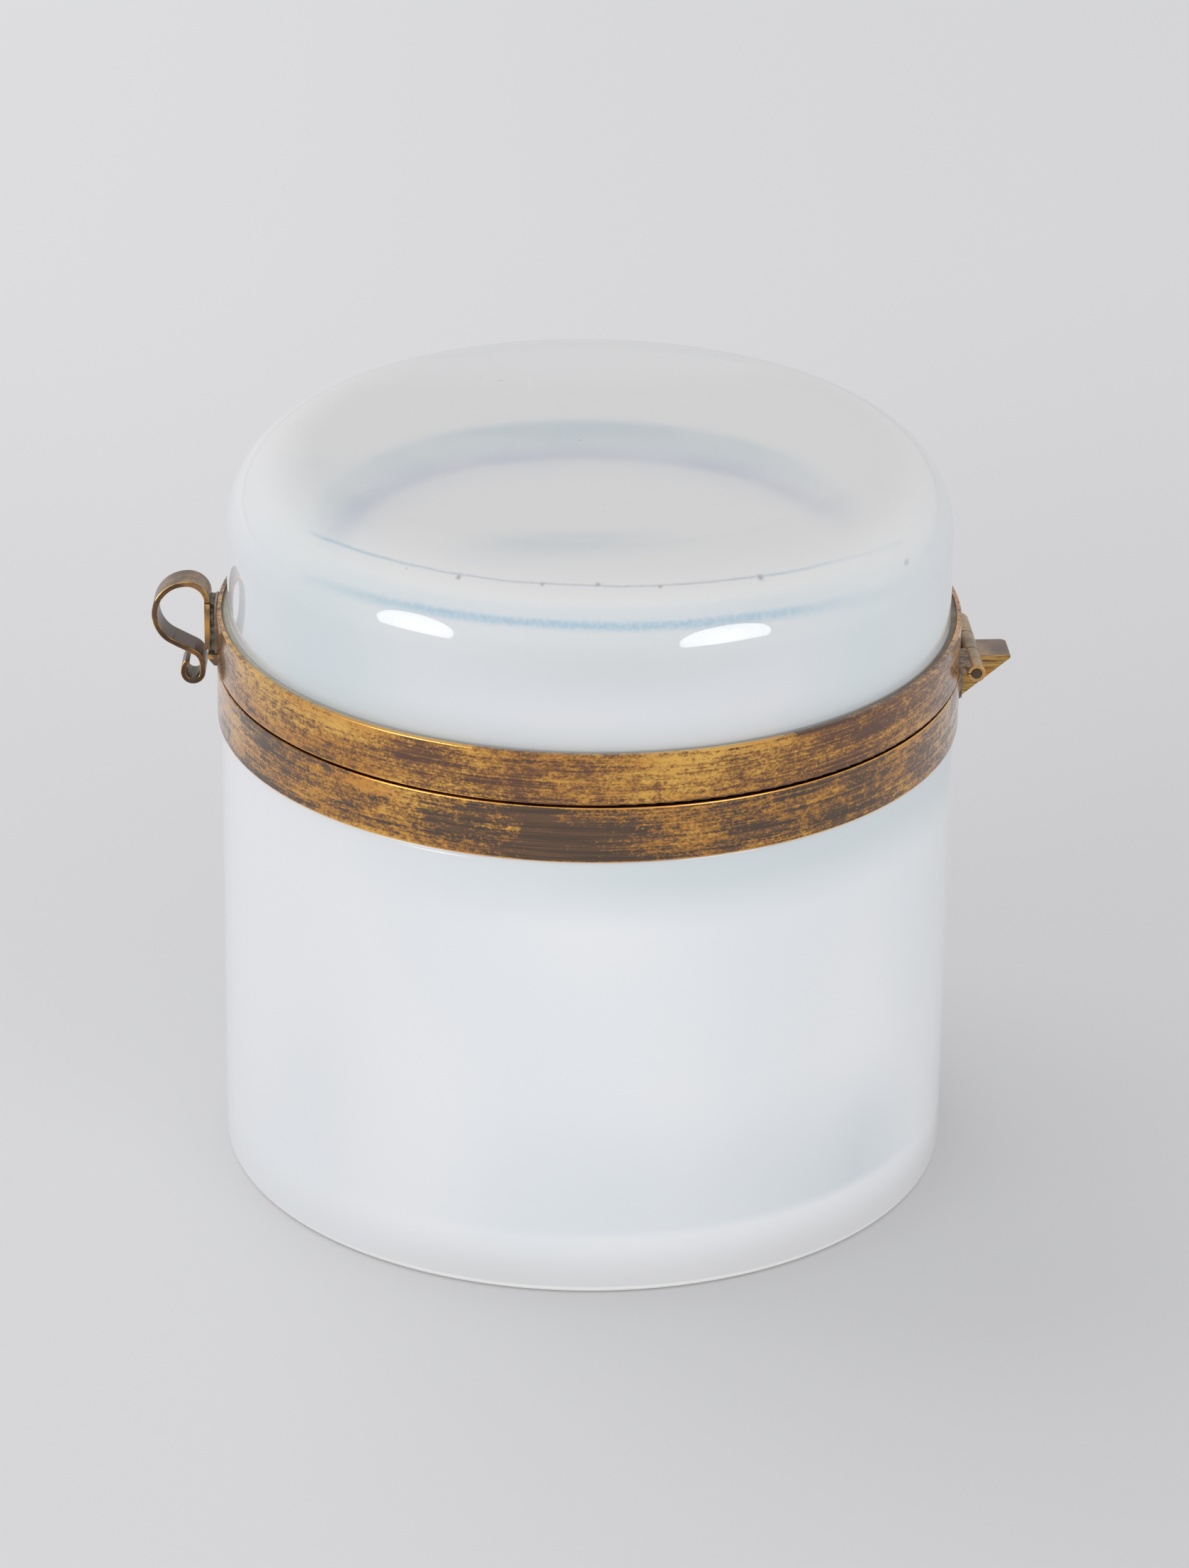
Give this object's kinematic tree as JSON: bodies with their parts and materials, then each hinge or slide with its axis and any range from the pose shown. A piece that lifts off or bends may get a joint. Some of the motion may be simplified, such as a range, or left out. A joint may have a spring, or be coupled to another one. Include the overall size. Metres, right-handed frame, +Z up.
{
  "type": "hinged glass box",
  "caption": "Round opaline glass box with a domed hinged lid, brass bands round both rims, a ribbon spring clasp with a finger loop, and a stop behind the hinge.",
  "frame": {"origin": "centre of the jar's underside", "axes": "+Z up, +X towards the hinge, the hinge pin along Y, the clasp on the -X side"},
  "size_m": [0.1271, 0.11, 0.1121],
  "materials": {
    "opaline_glass": "polished milky white glass, faintly blue where it is thin or seen through",
    "cement": "matt pale grey plaster cement",
    "band_brass": "aged brass, brushed round the band, with brown patina",
    "hinge_brass": "aged brass, file-marked and tarnished",
    "clasp_brass": "dull aged brass, bright where fingers rub it",
    "pin_steel": "dark steel wire",
    "solder": "dull grey soft solder"
  },
  "bodies": {
    "base": {"jar_glass": "opaline_glass", "jar_cement": "cement", "lower_band": "band_brass", "catch_bead": "clasp_brass", "hinge_knuckle_middle": "hinge_brass", "hinge_knuckle_middle_solder": "solder", "hinge_stop_wedge": "hinge_brass", "hinge_stop_solder": "solder", "hinge_pin": "pin_steel"},
    "lid": {"lid_glass": "opaline_glass", "lid_cement": "cement", "lid_band": "band_brass", "hinge_knuckle_front": "hinge_brass", "hinge_knuckle_rear": "hinge_brass", "hinge_knuckle_front_solder": "solder", "hinge_knuckle_rear_solder": "solder", "clasp_backplate": "clasp_brass", "clasp_solder": "solder", "clasp_leg": "clasp_brass"},
    "clasp": {"clasp_loop": "clasp_brass"}
  },
  "joints": [
    {"name": "lid_hinge", "type": "hinge", "parent": "base", "child": "lid", "pos_m": [0.05665, 0, 0.07817], "axis": [0, 1, 0], "range_deg": [0, 104]},
    {"name": "clasp_flex", "type": "hinge", "parent": "lid", "child": "clasp", "pos_m": [-0.05616, 0.00491, 0.08615], "axis": [0.0872, 0.9962, 0], "range_deg": [0, 10], "stiffness_Nm_per_rad": 0.12}
  ]
}
